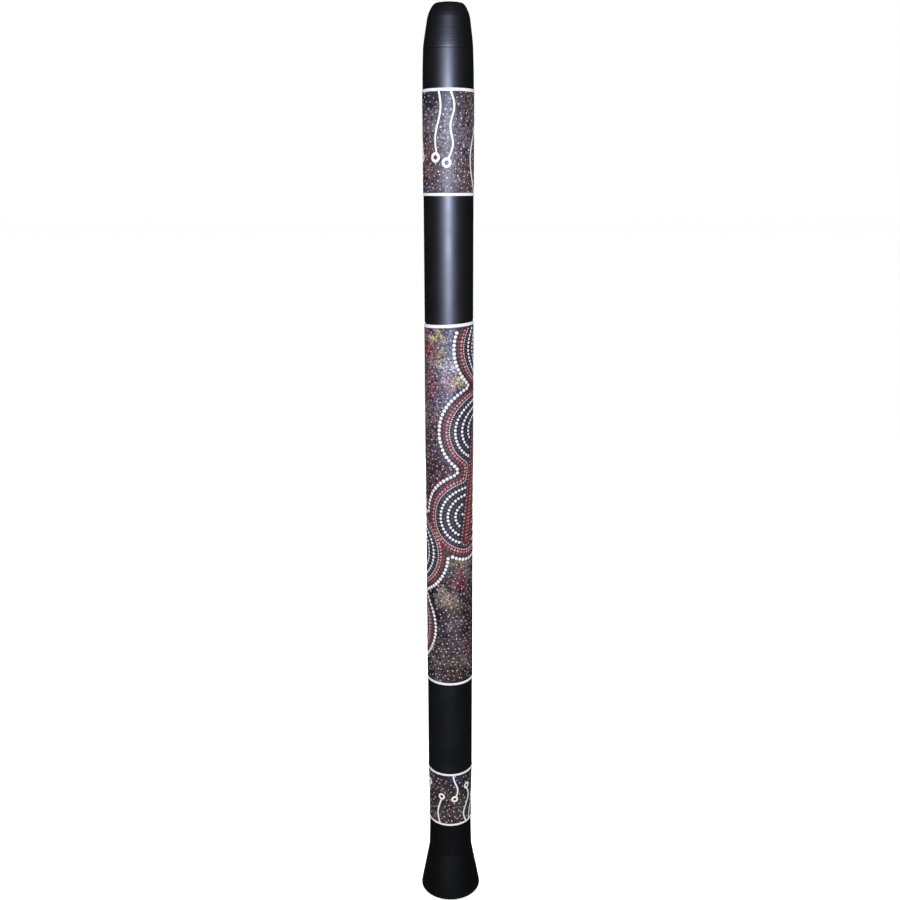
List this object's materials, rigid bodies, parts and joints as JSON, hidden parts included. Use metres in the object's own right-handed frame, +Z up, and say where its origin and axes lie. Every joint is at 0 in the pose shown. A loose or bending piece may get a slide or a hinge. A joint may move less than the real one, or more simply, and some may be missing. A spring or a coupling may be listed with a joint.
{
  "type": "didgeridoo",
  "caption": "Didgeridoo of black plastic pipe with a rounded mouthpiece, a flared bell, printed dot-pattern sleeves and white bands.",
  "frame": {"origin": "centre of the bell's flat rim, on the surface that the instrument stands on", "axes": "+Z up along the bore, from the bell to the mouthpiece; +X to the viewer's right when the printed side faces the viewer, who looks along +Y"},
  "size_m": [0.0826, 0.0826, 1.174],
  "materials": {
    "black_plastic": "satin black moulded plastic with faint fine texture",
    "dotted_film": "satin printed film, mottled dark ground with small cream dots and white strokes",
    "ringed_film": "satin printed film, mottled dark ground with rings of white and red dots",
    "white_tape": "satin white pinstripe tape"
  },
  "bodies": {
    "root": {"mouthpiece": "black_plastic", "main_tube": "black_plastic", "bell": "black_plastic", "upper_print_wrap": "dotted_film", "middle_print_wrap": "ringed_film", "lower_print_wrap": "dotted_film", "upper_wrap_top_band": "white_tape", "upper_wrap_bottom_band": "white_tape", "middle_wrap_top_band": "white_tape", "middle_wrap_bottom_band": "white_tape", "lower_wrap_top_band": "white_tape", "lower_wrap_bottom_band": "white_tape"}
  },
  "joints": []
}
